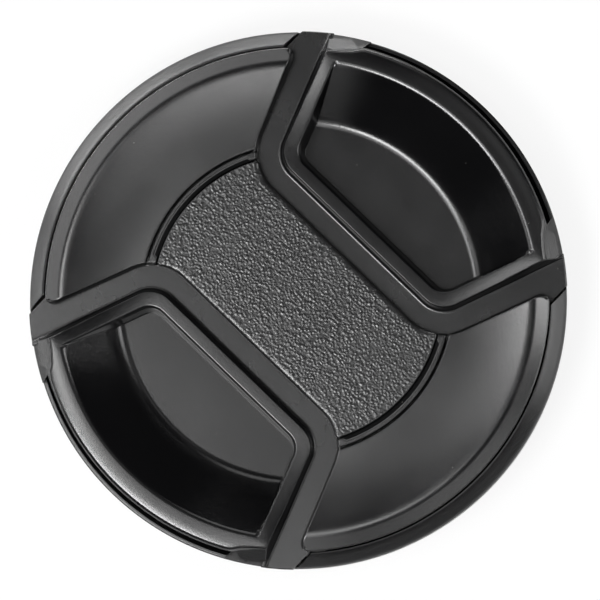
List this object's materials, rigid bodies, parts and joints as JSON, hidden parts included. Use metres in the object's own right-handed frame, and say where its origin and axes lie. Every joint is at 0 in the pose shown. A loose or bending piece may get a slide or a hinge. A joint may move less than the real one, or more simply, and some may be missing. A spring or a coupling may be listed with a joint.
{
  "type": "camera lens cap",
  "caption": "Round centre-pinch lens cap: bevelled rim, dished front lobes, grained centre panel and sprung finger-grip sliders whose toothed catches clip into a filter thread.",
  "frame": {"origin": "on the cap's axis, at the plane of the spigot's rear rim", "axes": "+Z out of the front face along the cap's axis, +X from the middle to slider_a along both slides, +Y across the slides"},
  "size_m": [0.0606, 0.0606, 0.0084],
  "materials": {
    "body": "black, fine moulded grain",
    "front_cover": "black satin",
    "centre_plate": "black leather grain",
    "slider": "black, glossier in the pocket",
    "spring": "bright drawn wire"
  },
  "bodies": {
    "base": {"body": "body", "front_cover": "front_cover", "centre_plate": "centre_plate", "spring_a": "spring", "spring_b": "spring"},
    "grip_a": {"slider_a": "slider"},
    "grip_b": {"slider_b": "slider"}
  },
  "joints": [
    {"name": "slide_a", "type": "slide", "parent": "base", "child": "grip_a", "axis": [-1, 0, 0], "range_m": [0, 0.0022], "stiffness_N_per_m": 500, "springref_m": -0.0003, "deforming": ["spring_a"]},
    {"name": "slide_b", "type": "slide", "parent": "base", "child": "grip_b", "axis": [1, 0, 0], "range_m": [0, 0.0022], "stiffness_N_per_m": 500, "springref_m": -0.0003, "deforming": ["spring_b"]}
  ]
}
